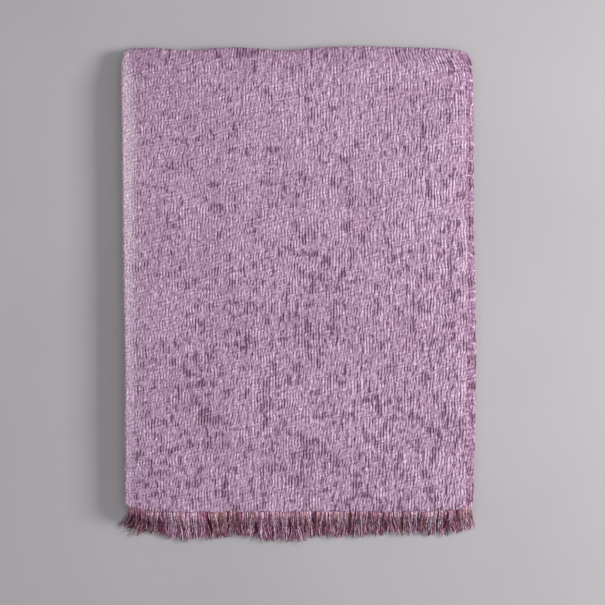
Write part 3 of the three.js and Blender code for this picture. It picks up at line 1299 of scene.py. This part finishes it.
@dataclass(frozen=True)
class CrinkleWeave:
    """Lilac ribs over mauve grooves, flecked with plum where the dark yarn shows through, with painted
    shade in the grooves, a painted highlight on the crests, and painted sheen and shade beside the folds.
    """

    name: str = "crinkle_weave"
    # The ramp mixes the yarn's own colours with painted light: the dark groove is partly painted shade, the
    # pale crest partly a painted highlight.
    groove: tuple[float, Colour] = (0.1, (130, 88, 119))
    slope: tuple[float, Colour] = (0.45, (178, 142, 169))
    ridge: tuple[float, Colour] = (0.75, (204, 171, 196))
    highlit_crest: tuple[float, Colour] = (1.0, (230, 199, 224))
    fleck: Colour = (80, 30, 66)
    fleck_cover: float = 0.9
    fleck_fray: Change = Change(0.2, 0.5, 0.7, 1.1)
    beads: Pattern = Pattern(1.7, 4.2, rough=0.6)
    bead_depth: float = 0.45
    bead_relief: float = 0.6
    stitch: Span = (1.0, 1.3)
    stitch_randomness: float = 0.6
    stitch_shade: Change = Change(0.0, 1.0, 0.84, 1.16)
    stitch_relief: Change = Change(0.05, 0.6, 1.6, 0.0)
    grain: Pattern = Pattern(1.7, 3.4, detail=0.0)
    grain_shade: Change = Change(0.28, 0.72, 0.86, 1.14)
    twills: tuple[Twill, ...] = (Twill(57, -227, 0.08), Twill(57, -294, 0.06))
    twill_patches: Pattern = Pattern(22, 14)
    twill_patch_shows: Change = Change(0.3, 0.7, 0.3, 1.5)
    broad: Pattern = Pattern(70, 90, detail=3.0)
    broad_shade: Change = Change(0.3, 0.7, 0.96, 1.05)
    # Painted shade: darker towards the top fold, where the cloth rolls away from the light
    top_fold_painted_shade: Change = Change(-18.0, -4.0, 1.0, 0.9)
    deepening: Span = (1.35, 1.08)
    drawn_wander: Pattern = Pattern(12, 18, detail=1.0)
    drawn_wander_ribs: float = 1.2
    drawn_swell: Pattern = Pattern(3.2, 7, detail=1.0)
    drawn_height: Change = Change(0.3, 0.7, 0.06, 0.42)
    drawn_relief: float = 2.6
    specks: Pattern = Pattern(1.3, 1.6, rough=0.8)
    # Painted sheen on the left fold's edge, in pale specks
    painted_sheen_edge: Colour = (238, 214, 228)
    painted_sheen_cover: float = 0.85
    painted_sheen_specks: Change = Change(0.4, 0.52)
    # Painted shade on the right fold's edge, where the cloth turns away from the light
    painted_shade_edge: Colour = (136, 88, 122)
    painted_shade_reach: Change = Change(0.4, 1.0)
    painted_shade_specks: Change = Change(0.35, 0.6, 0.8, 0.3)
    weft_thread: Colour = (226, 198, 220)
    weft_row: float = 7.5
    weft_sway: Pattern = Pattern(18, 40, detail=1.0)
    weft_sway_rows: float = 4.0
    weft_line: Change = Change(0.1, 0.9)
    weft_breaks: Pattern = Pattern(2.6, 7)
    weft_break: Change = Change(0.45, 0.6)
    weft_cover: float = 0.75
    roughness: Change = Change(0.3, 0.7, 0.92, 0.74)
    specular: float = 0.22
    sheen: float = 0.12
    sheen_roughness: float = 0.5
    relief: float = 0.25

    def material(self, patch: WorkedPatch) -> bpy.types.Material:
        """Builds the material.

        Args:
            patch: The worked patch, for its ribs and its top fold.

        Returns:
            The material.
        """
        material = new_material(self.name)
        nodes = ClothNodes(material.node_tree)
        worked = nodes.attribute(Layer.WORKED)
        rib = self.rib_level(nodes, worked, patch)
        beads = nodes.pattern(self.beads)
        cells = {"Vector": nodes.over(*self.stitch), "Scale": 1.0, "Randomness": self.stitch_randomness}
        stitch = nodes.add("ShaderNodeTexVoronoi", cells)
        level = rib + (beads - 0.5) * self.bead_depth
        # Partly the yarn's colour, partly painted shade in the grooves and a painted highlight on the
        # crests
        colour = nodes.ramp(level, (self.groove, self.slope, self.ridge, self.highlit_crest))
        colour = self.edges(nodes, colour)
        fleck = nodes.attribute(Layer.FLECK) * beads.change(self.fleck_fray)
        cover = nodes.math("MULTIPLY", fleck, self.fleck_cover, clamped=True)
        colour = nodes.mix(cover, colour, self.fleck)

        # Painted shade towards the top fold
        low, high, before, after = self.top_fold_painted_shade
        near_top = Change(patch.top_fold + low, patch.top_fold + high, before, after)
        shade = nodes.pattern(self.broad).change(self.broad_shade) * nodes.along.change(near_top)
        shade = shade * self.fine_shade(nodes, stitch.output("Color"))
        green, blue = (nodes.math("POWER", shade, power) for power in self.deepening)
        colour = nodes.mix(1.0, colour, nodes.vector(shade, green, blue), "MULTIPLY")

        bump = stitch.change(self.stitch_relief) + beads * self.bead_relief
        bump = bump + (1.0 - worked) * rib * self.drawn_relief
        shader = {
            "Base Color": colour,
            "Roughness": beads.change(self.roughness),
            "Specular IOR Level": self.specular,
            "Sheen Weight": self.sheen,
            "Sheen Roughness": self.sheen_roughness,
            "Sheen Tint": self.ridge[1],
        }
        nodes.surface(shader, bump, self.relief)
        return material

    def rib_level(self, nodes: ClothNodes, worked: Value, patch: WorkedPatch) -> Value:
        """How high each place is on its rib: modelled on the patch, and drawn on the rest of the cloth.

        Args:
            nodes: The tree.
            worked: How far the mesh holds the ribs itself.
            patch: The worked patch, for its ribs.

        Returns:
            The level, from 0 in a groove to 1 on a ridge.
        """
        wander = nodes.pattern(self.drawn_wander) * self.drawn_wander_ribs
        place = nodes.across / patch.rib_pitch + wander
        wave = nodes.math("COSINE", place * (2 * math.pi))
        wave = wave * nodes.pattern(self.drawn_swell).change(self.drawn_height)
        drawn = wave + patch.ribs.middle
        return nodes.attribute(Layer.RIB) * worked + drawn * (1.0 - worked)

    def fine_shade(self, nodes: ClothNodes, cells: Value) -> Value:
        """The brightness of the single stitches, with faint slanting lines that come and go.

        Args:
            nodes: The tree.
            cells: The random colours of the stitches.

        Returns:
            The brightness, around 1.
        """
        own = nodes.add("ShaderNodeSeparateColor", {0: cells})
        shade = own.change(self.stitch_shade) * nodes.pattern(self.grain).change(self.grain_shade)
        patchy = nodes.pattern(self.twill_patches).change(self.twill_patch_shows)
        for twill in self.twills:
            turns = nodes.across * (twill.across * METRES) + nodes.along * (twill.along * METRES)
            shade = shade + nodes.math("COSINE", turns * (2 * math.pi)) * patchy * twill.shows
        return shade

    def edges(self, nodes: ClothNodes, colour: Value) -> Value:
        """Paints light and shade beside the folds: speckled pale painted sheen on the left, dark painted
        shade barred with pale weft lines on the right.

        Args:
            nodes: The tree.
            colour: The colour before.

        Returns:
            The colour.
        """
        left, right = nodes.attribute(Layer.PAINTED_SHEEN), nodes.attribute(Layer.SHADE_AND_WEFT)
        speck = nodes.pattern(self.specks)
        # Painted sheen along the left fold, in pale specks
        light = left * self.painted_sheen_cover * speck.change(self.painted_sheen_specks)
        colour = nodes.mix(light, colour, self.painted_sheen_edge)
        # Painted shade along the right fold
        dark = right.change(self.painted_shade_reach) * speck.change(self.painted_shade_specks)
        colour = nodes.mix(dark, colour, self.painted_shade_edge)
        sway = nodes.pattern(self.weft_sway) * self.weft_sway_rows
        turn = nodes.along / self.weft_row + sway
        line = nodes.math("SINE", turn * (2 * math.pi)).change(self.weft_line)
        line = line * nodes.pattern(self.weft_breaks).change(self.weft_break)
        return nodes.mix(line * (right * self.weft_cover), colour, self.weft_thread)


@dataclass(frozen=True)
class FringeYarn:
    """The loose warp yarns: plum, mauve, dull beige and pale pink, with a silky shine."""

    name: str = "fringe_yarn"
    plum: Colour = (84, 20, 50)
    mauve: Colour = (176, 104, 144)
    beige: Colour = (212, 164, 156)
    pink: Colour = (246, 190, 220)
    pale: Colour = (254, 224, 240)
    tone_stops: tuple[float, ...] = (0.0, 0.3, 0.44, 0.56, 0.66, 0.8, 1.0)
    mottle_scale: float = 260.0
    mottle_detail: float = 2.0
    mottle: Change = Change(0.3, 0.7, 0.6, 1.25)
    # Painted shade: darker towards the tips, where the yarns hang steep and shaded
    tip_painted_shade: Change = Change(0.55, 1.0, 1.0, 0.72)
    deepening: float = 1.3
    twists: float = 9.0
    roughness: Change = Change(0.0, 1.0, 0.66, 0.46)
    specular: float = 0.3
    relief: float = 0.12

    def material(self) -> bpy.types.Material:
        """Builds the material.

        Returns:
            The material.
        """
        material = new_material(self.name)
        nodes = Nodes(material.node_tree)
        tone, along, around = (nodes.attribute(layer) for layer in (Layer.TONE, Layer.ALONG, Layer.AROUND))
        colours = (self.plum, self.mauve, self.beige, self.beige, self.mauve, self.pink, self.pale)
        colour = nodes.ramp(tone, tuple(zip(self.tone_stops, colours)))
        at = nodes.add("ShaderNodeTexCoord", output="Object")
        shade = nodes.noise(at, self.mottle_scale, self.mottle_detail).change(self.mottle)
        # Painted shade towards the tips
        shade = shade * along.change(self.tip_painted_shade)
        tinted = nodes.vector(shade, nodes.math("POWER", shade, self.deepening), shade)
        shader = {
            "Base Color": nodes.mix(1.0, colour, tinted, "MULTIPLY"),
            "Roughness": tone.change(self.roughness),
            "Specular IOR Level": self.specular,
        }
        ply = nodes.math("SINE", (along * self.twists + around) * (4 * math.pi))
        nodes.surface(shader, ply, self.relief)
        return material


@dataclass(frozen=True)
class FloorFinish:
    """A plain, pale and even floor with a soft grain."""

    name: str = "pale_floor"
    low: Colour = (182, 178, 180)
    high: Colour = (187, 183, 185)
    cloud_scale: float = 3.0
    cloud_detail: float = 5.0
    cloud: Change = Change(0.3, 0.7)
    grain_scale: float = 400.0
    grain_detail: float = 2.0
    roughness: float = 0.95
    relief: float = 0.1

    def material(self) -> bpy.types.Material:
        """Builds the material.

        Returns:
            The material.
        """
        material = new_material(self.name)
        nodes = Nodes(material.node_tree)
        at = nodes.add("ShaderNodeTexCoord", output="Object")
        cloud = nodes.noise(at, self.cloud_scale, self.cloud_detail).change(self.cloud)
        grain = nodes.noise(at, self.grain_scale, self.grain_detail)
        shader = {"Base Color": nodes.mix(cloud, self.low, self.high), "Roughness": self.roughness}
        nodes.surface(shader, grain, self.relief)
        return material


# Fringes


class Given(str, Enum):
    """What the tree that spins the yarns is given."""

    YARNS = "Yarns in a lock"
    HALF_WIDTH = "Lock half width"
    HALF_HEIGHT = "Lock half height"
    GATHER = "Gather at the tip"
    STRAY = "Stray"
    WAVINESS = "Waviness"
    SHORTEST = "Shortest share"
    RADIUS = "Yarn radius"
    SEED = "Seed"
    FINISH = "Finish"


class Draw(int, Enum):
    """Which of a yarn's random numbers is drawn."""

    SIDE = 1
    HEIGHT = 2
    LENGTH = 3
    TONE = 4
    STRAY = 5


class YarnNodes(Nodes):
    """The nodes of the tree that spins the yarns, with what each yarn is given."""

    KINDS = {Given.YARNS: "Int", Given.SEED: "Int", Given.FINISH: "Material"}

    def __init__(self, tree: bpy.types.NodeTree) -> None:
        """Starts the tree with its inputs, each yarn's number and the place along the yarn.

        Args:
            tree: The new tree.
        """
        super().__init__(tree)
        sockets = tree.interface
        sockets.new_socket("Guides", in_out="INPUT", socket_type="NodeSocketGeometry")
        self.names = {}
        for given in Given:
            kind = "NodeSocket" + self.KINDS.get(given, "Float")
            socket = sockets.new_socket(given.value, in_out="INPUT", socket_type=kind)
            self.names[given] = socket.identifier
        sockets.new_socket("Yarns", in_out="OUTPUT", socket_type="NodeSocketGeometry")
        self.guides = self.add("NodeGroupInput", output="Guides")
        index = self.add("GeometryNodeInputIndex")
        self.yarn = self.add("GeometryNodeFieldOnDomain", {0: index}, data_type="INT", domain="CURVE")
        self.factor = self.add("GeometryNodeSplineParameter", output="Factor")

    def given(self, given: Given) -> Value:
        """One of the tree's inputs."""
        return self.guides.output(given.value)

    def chance(self, draw: Draw, low: Value | float, high: float) -> Value:
        """A random number for each yarn, from low to high."""
        inputs = {"ID": self.yarn, "Seed": self.given(Given.SEED) + float(draw.value), 2: low, 3: high}
        return self.add("FunctionNodeRandomValue", inputs, 1, data_type="FLOAT")

    def store(self, geometry: Value, layer: Layer, value: Value) -> Value:
        """The geometry with a value kept at each point under a name."""
        inputs = {"Geometry": geometry, "Name": layer.value, "Value": value}
        return self.add("GeometryNodeStoreNamedAttribute", inputs, data_type="FLOAT", domain="POINT")

    def vectors(self, operation: str, first: Value, second: Value | tuple[float, ...]) -> Value:
        """The result of a sum of two vectors."""
        return self.add("ShaderNodeVectorMath", {0: first, 1: second}, operation=operation)


@dataclass(frozen=True)
class YarnTree:
    """The node tree that spins each lock's yarns round the lock's guide."""

    steps: int = 10
    sides: int = 4
    own_tone: float = 0.45
    tip_taper: float = 0.3
    loosening: float = 1.4
    loose_at_root: float = 0.15
    waver_scale: float = 55.0
    waver_detail: float = 1.0
    waver_apart: float = 0.731

    def build(self) -> YarnNodes:
        """Builds the tree.

        Returns:
            Its nodes, which keep the tree and the names of its inputs.
        """
        nodes = YarnNodes(bpy.data.node_groups.new("fringe_yarns", "GeometryNodeTree"))
        lines = nodes.add("GeometryNodeMeshToCurve", {"Mesh": nodes.guides})
        lines = nodes.add("GeometryNodeResampleCurve", {"Curve": lines, "Count": self.steps + 1})
        lock = {"Geometry": lines, "Amount": nodes.given(Given.YARNS)}
        yarns = nodes.add("GeometryNodeDuplicateElements", lock, domain="SPLINE")
        yarns = self.keep_off_floor(nodes, self.spread(nodes, yarns))
        length = nodes.chance(Draw.LENGTH, nodes.given(Given.SHORTEST), 1.0)
        yarns = nodes.add("GeometryNodeTrimCurve", {"Curve": yarns, "End": length})
        kept = {"Name": Layer.LOCK.value}
        lock_tone = nodes.add("GeometryNodeInputNamedAttribute", kept, data_type="FLOAT")
        own_tone = nodes.chance(Draw.TONE, -self.own_tone, self.own_tone)
        yarns = nodes.store(yarns, Layer.TONE, nodes.math("ADD", lock_tone, own_tone, clamped=True))
        yarns = nodes.store(yarns, Layer.ALONG, nodes.factor)
        circle = {"Resolution": self.sides, "Radius": nodes.given(Given.RADIUS)}
        ring = nodes.add("GeometryNodeCurvePrimitiveCircle", circle)
        ring = nodes.store(ring, Layer.AROUND, nodes.factor)
        taper = 1.0 - nodes.factor * self.tip_taper
        swept = {"Curve": yarns, "Profile Curve": ring, "Scale": taper, "Fill Caps": True}
        solid = nodes.add("GeometryNodeCurveToMesh", swept)
        smooth = nodes.add("GeometryNodeSetShadeSmooth", {"Geometry": solid})
        real = nodes.add("GeometryNodeRealizeInstances", {"Geometry": smooth})
        finish = {"Geometry": real, "Material": nodes.given(Given.FINISH)}
        nodes.place("NodeGroupOutput", {0: nodes.add("GeometryNodeSetMaterial", finish)})
        return nodes

    def spread(self, nodes: YarnNodes, copies: Value) -> Value:
        """Moves each yarn off the middle of its lock and lets it waver.

        Args:
            nodes: The tree.
            copies: The copies of the guides.

        Returns:
            The moved yarns.
        """
        factor = nodes.factor
        side, up, stray = (nodes.chance(draw, -1.0, 1.0) for draw in (Draw.SIDE, Draw.HEIGHT, Draw.STRAY))
        gather = (1.0 - nodes.given(Given.GATHER)) * factor
        sideways = side * (1.0 - gather) * nodes.given(Given.HALF_WIDTH)
        sideways = sideways + stray * nodes.given(Given.STRAY) * factor * factor
        loose = nodes.math("MULTIPLY", factor, self.loosening, clamped=True) + self.loose_at_root
        upward = up * loose * nodes.given(Given.HALF_HEIGHT)
        waver = {
            "Vector": nodes.add("GeometryNodeInputPosition"),
            "W": nodes.yarn * self.waver_apart,
            "Scale": self.waver_scale,
            "Detail": self.waver_detail,
        }
        noise = nodes.add("ShaderNodeTexNoise", waver, "Color", noise_dimensions="4D")
        centred = nodes.vectors("SUBTRACT", noise, (0.5, 0.5, 0.5))
        size = nodes.given(Given.WAVINESS) * factor
        wave = nodes.add("ShaderNodeVectorMath", {0: centred, "Scale": size}, operation="SCALE")
        offset = nodes.vectors("ADD", nodes.vector(sideways, 0.0, upward), wave)
        return nodes.add("GeometryNodeSetPosition", {"Geometry": copies, "Offset": offset})

    def keep_off_floor(self, nodes: YarnNodes, yarns: Value) -> Value:
        """Lifts what would lie below the floor until it rests on it.

        Args:
            nodes: The tree.
            yarns: The yarns.

        Returns:
            The lifted yarns.
        """
        apart = nodes.add("ShaderNodeSeparateXYZ", {0: nodes.add("GeometryNodeInputPosition")})
        height = nodes.math("MAXIMUM", apart.output(2), nodes.given(Given.RADIUS))
        resting = nodes.vector(apart, apart.output(1), height)
        return nodes.add("GeometryNodeSetPosition", {"Geometry": yarns, "Position": resting})


@dataclass
class Fringe:
    """A fringe: locks of loose warp yarn out of the three layers of one end of the cloth."""

    name: str
    node: Node
    throw: Throw
    edge: float
    level: float
    outward: float
    locks_in_layer: int
    yarns_in_lock: int
    hidden: bool = False
    rooted: float = 5.0
    # Each layer's range of tones over the yarns' own mixed tones; the lower layers draw darker ones,
    # painted shade under the layers above
    layer_tones_and_shade: tuple[Span, ...] = ((0.0, 0.35), (0.2, 0.75), (0.4, 1.0))
    lock_half_width: float = 4.3
    lock_half_height: float = 1.3
    lock_inset: float = 0.8
    lock_jitter: float = 0.22
    fold_clear: Span = (1.5, 3.0)
    yarn_radius: float = 0.68
    gather: float = 0.75
    stray: float = 4.4
    waviness: float = 11.0
    shortest_share: float = 0.8
    pile_step: float = 1.3
    layer_step: float = 3.0
    stray_reach: float = 3.3
    reach_span: Span = (0.93, 1.04)
    hidden_reach: float = 36.0
    landing_share: float = 0.72
    hidden_landing: float = 14.0
    sway: float = 3.6
    bow: float = 0.7
    points_in_guide: int = 12
    seed: int = 5

    def guides(self) -> tuple[Array, Array]:
        """The lines that the locks follow.

        Returns:
            The points, a row of them for each lock, and each lock's tone.
        """
        plan, rng = self.throw.plan, np.random.default_rng(self.seed)
        spacing = 2 * plan.free_edge / self.locks_in_layer
        inset = self.lock_inset * self.lock_half_width
        left_clear, right_clear = self.fold_clear
        lines, tones = [], []
        for layer, (low, high) in enumerate(self.layer_tones_and_shade):
            steps = np.arange(-1, self.locks_in_layer + 1) + (layer + 0.5) / len(self.layer_tones_and_shade)
            places = -plan.free_edge + steps * spacing
            places = places + rng.uniform(-self.lock_jitter, self.lock_jitter, places.size) * spacing
            left = -plan.free_edge if layer == 0 else -plan.width / 2 + left_clear
            right = plan.free_edge if layer == 1 else plan.width / 2 - right_clear
            places = places[(places > left + inset) & (places < right - inset)]
            lines.append(self.layer_guides(layer, places, rng))
            tones.append(rng.uniform(low, high, places.size))
        return np.concatenate(lines), np.concatenate(tones)

    def layer_guides(self, layer: int, places: Array, rng: np.random.Generator) -> Array:
        """The lines of the locks of one layer.

        Args:
            layer: The layer, from 0 below to 2 on top.
            places: Where the locks stand across the throw.
            rng: The seeded source.

        Returns:
            The points, a row of them for each lock.
        """
        if self.hidden:
            reach = np.full(places.shape, self.hidden_reach)
            landing = np.full(places.shape, self.hidden_landing)
            lean = np.zeros(places.shape)
        else:
            reach = read_table(COLUMNS, "reach", places) + self.stray_reach - (2 - layer) * self.layer_step
            landing = self.landing_share * reach
            lean = read_table(COLUMNS, "lean", places)
        reach = reach * rng.uniform(*self.reach_span, places.shape)
        lean = lean + self.sway * rng.standard_normal(places.shape)
        bow = self.sway * self.bow * rng.standard_normal(places.shape)
        share = np.linspace(0, 1, self.points_in_guide)[None, :]
        run = share * (reach + self.rooted)[:, None] - self.rooted
        free = np.clip(run / reach[:, None], 0, 1)
        step = np.clip(run / landing[:, None], 0, 1)
        fallen = step**3 * (step * (6 * step - 15) + 10)
        start = self.level + self.throw.plan.layer_height(layer)
        rest = self.yarn_radius + self.lock_half_height + layer * self.pile_step
        height = start + (rest - start) * fallen
        x = places[:, None] + lean[:, None] * free**2 + bow[:, None] * np.sin(np.pi * free) * free
        y = self.edge + self.outward * run + 0 * x
        return self.throw.settle(x, y, height + 0 * x)

    def spin(self, nodes: YarnNodes, material: bpy.types.Material) -> bpy.types.Mesh:
        """Spins the yarns round the guides.

        Args:
            nodes: The tree that spins them.
            material: The yarn's finish.

        Returns:
            The yarns' mesh.
        """
        guides, tones = self.guides()
        guides *= METRES
        locks, points, _ = guides.shape
        numbers = np.arange(locks * points).reshape(locks, points)
        edges = np.stack([numbers[:, :-1].ravel(), numbers[:, 1:].ravel()], -1)
        lines = bpy.data.meshes.new(self.name + "_guides")
        lines.from_pydata(guides.reshape(-1, 3).tolist(), edges.tolist(), [])
        keep_values(lines, Layer.LOCK, np.repeat(tones, points))
        holder = bpy.data.objects.new(lines.name, lines)
        bpy.context.scene.collection.objects.link(holder)
        modifier = holder.modifiers.new("yarns", "NODES")
        modifier.node_group = nodes.tree
        inputs = {
            Given.YARNS: self.yarns_in_lock,
            Given.HALF_WIDTH: self.lock_half_width * METRES,
            Given.HALF_HEIGHT: self.lock_half_height * METRES,
            Given.GATHER: self.gather,
            Given.STRAY: self.stray * METRES,
            Given.WAVINESS: self.waviness * METRES,
            Given.SHORTEST: self.shortest_share,
            Given.RADIUS: self.yarn_radius * METRES,
            Given.SEED: self.seed,
            Given.FINISH: material,
        }
        for given, value in inputs.items():
            modifier[nodes.names[given]] = value
        graph = bpy.context.evaluated_depsgraph_get()
        mesh = bpy.data.meshes.new_from_object(holder.evaluated_get(graph), depsgraph=graph)
        bpy.data.objects.remove(holder)
        return mesh

    def dress(self, material: bpy.types.Material, tree: YarnTree) -> bpy.types.Object:
        """Builds the yarns and sets the fringe in the frame.

        Args:
            material: The yarn's finish.
            tree: The tree that spins the yarns.

        Returns:
            The fringe.
        """
        piece = show(self.name, self.spin(tree.build(), material), material)
        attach(piece, ROOT_BODY)
        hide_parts(self.node.value)
        return piece


# The studio


@dataclass(frozen=True)
class Studio:
    """A pale floor, one soft key light from the right, soft fill and a camera straight overhead."""

    floor_size: float = 6000.0
    key_bearing: float = 8.0
    key_elevation: float = 30.0
    key_distance: float = 2300.0
    key_size: float = 800.0
    key_power: float = 50.0
    overhead_height: float = 2600.0
    overhead_size: float = 2400.0
    overhead_power: float = 20.0
    sky: Colour = (226, 228, 236)
    sky_strength: float = 0.33
    framed_width: float = 742.6
    framed_height: float = 27.0
    camera_distance: float = 2000.0
    sensor: float = 36.0
    aim: Span = (6.1, -28.7)

    def floor(self) -> bpy.types.Object:
        """Lays the floor.

        Returns:
            The floor.
        """
        half = self.floor_size / 2 * METRES
        mesh = bpy.data.meshes.new("floor")
        corners = [(-half, -half, 0), (half, -half, 0), (half, half, 0), (-half, half, 0)]
        mesh.from_pydata(corners, [], [(0, 1, 2, 3)])
        floor = show("floor", mesh, FloorFinish().material())
        return floor

    def area_light(self, name: str, place: Vector, size: float, power: float) -> None:
        """Hangs a soft light that looks at the throw.

        Args:
            name: The light's name.
            place: Where it hangs.
            size: The side of its square face.
            power: Its power in watts.
        """
        data = bpy.data.lights.new(name, "AREA")
        data.shape = "SQUARE"
        data.size = size * METRES
        data.energy = power
        light = bpy.data.objects.new(name, data)
        light.location = place * METRES
        light.rotation_euler = (-place).to_track_quat("-Z", "Y").to_euler()
        bpy.context.scene.collection.objects.link(light)

    def lights(self) -> None:
        """Hangs the lights and sets the sky."""
        bearing, rise = math.radians(self.key_bearing), math.radians(self.key_elevation)
        level = math.cos(rise)
        toward = Vector((level * math.cos(bearing), level * math.sin(bearing), math.sin(rise)))
        self.area_light("key", toward * self.key_distance, self.key_size, self.key_power)
        overhead = Vector((0, 0, self.overhead_height))
        self.area_light("overhead", overhead, self.overhead_size, self.overhead_power)
        world = bpy.data.worlds.new("studio")
        world.use_nodes = True
        nodes = Nodes(world.node_tree)
        sky = nodes.add("ShaderNodeBackground", {"Color": self.sky, "Strength": self.sky_strength})
        nodes.place("ShaderNodeOutputWorld", {"Surface": sky})
        bpy.context.scene.world = world
        bpy.context.scene.view_settings.view_transform = "Standard"

    def camera(self, throw: Throw) -> None:
        """Sets the camera over the throw, looking straight down.

        Args:
            throw: The folded throw in the frame.
        """
        data = bpy.data.cameras.new("overhead_camera")
        data.sensor_width = self.sensor
        data.lens = self.sensor * self.camera_distance / self.framed_width
        camera = bpy.data.objects.new("overhead_camera", data)
        x, y = self.aim[0] + throw.shift[0], self.aim[1] + throw.shift[1]
        camera.location = Vector((x, y, self.framed_height + self.camera_distance)) * METRES
        bpy.context.scene.collection.objects.link(camera)
        bpy.context.scene.camera = camera


def report(piece: bpy.types.Object) -> None:
    """Logs a piece's name and how many triangles it has."""
    piece.data.calc_loop_triangles()
    LOG.info("%s: %d triangles", piece.name, len(piece.data.loop_triangles))


def main() -> None:
    """Builds the throw piece by piece and lights it."""
    logging.basicConfig(level=logging.INFO, format="%(name)s: %(message)s")
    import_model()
    throw = Throw().set_in_frame()
    plan = throw.plan
    LOG.info("cloth %.0f by %.0f mm flat, shift %s", plan.section.length, plan.path.length, throw.shift)

    cloth = Cloth(throw, WorkedPatch(throw)).dress(CrinkleWeave())
    report(cloth)
    yarn, tree = FringeYarn().material(), YarnTree()
    front = Fringe(
        name="shown_fringe",
        node=Node.FRONT_FRINGE,
        throw=throw,
        edge=-plan.length / 2,
        level=2 * plan.pack_pitch,
        outward=-1,
        locks_in_layer=58,
        yarns_in_lock=12,
    ).dress(yarn, tree)
    report(front)
    back = Fringe(
        name="under_fringe",
        node=Node.HIDDEN_FRINGE,
        throw=throw,
        edge=plan.hidden_end,
        level=0.0,
        outward=1,
        locks_in_layer=52,
        yarns_in_lock=6,
        hidden=True,
        seed=6,
    ).dress(yarn, tree)
    report(back)

    studio = Studio()
    floor = studio.floor()
    plan.section.length * METRES
    plan.path.length * METRES
    studio.lights()
    studio.camera(throw)


if __name__ == "__main__":
    main()
